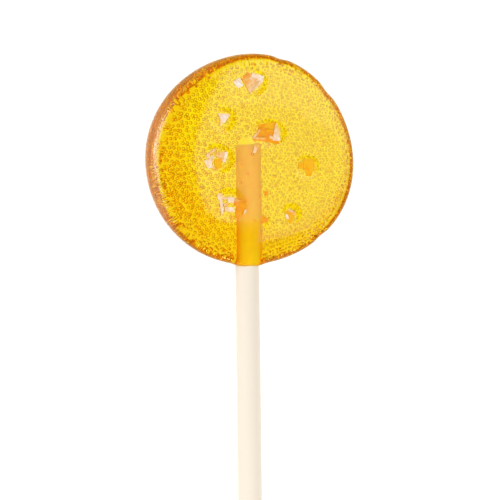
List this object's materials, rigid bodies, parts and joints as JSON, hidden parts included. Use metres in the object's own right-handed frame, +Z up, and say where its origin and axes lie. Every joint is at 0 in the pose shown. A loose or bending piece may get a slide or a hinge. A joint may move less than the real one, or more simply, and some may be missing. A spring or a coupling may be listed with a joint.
{
  "type": "honey lollipop",
  "caption": "Flat round lollipop of clear golden candy with fine bubbles inside and salt flakes set in its face, on a straight rolled-paper stick, lying on its flat back.",
  "frame": {"origin": "centre of the candy disc on its flat back, on the plane it rests on", "axes": "+Z up, out of the shown face; the stick runs from the disc towards -Y; +X is to the right of the shown face with the stick pointing down"},
  "size_m": [0.0508, 0.1742, 0.0088],
  "materials": {
    "candy": "clear glossy honey-yellow hard candy with fine bubbles",
    "salt": "milky white salt flakes, fused to the candy's face",
    "paper": "matt cream rolled paper"
  },
  "bodies": {
    "root": {"candy": "candy", "stick": "paper"}
  },
  "joints": []
}
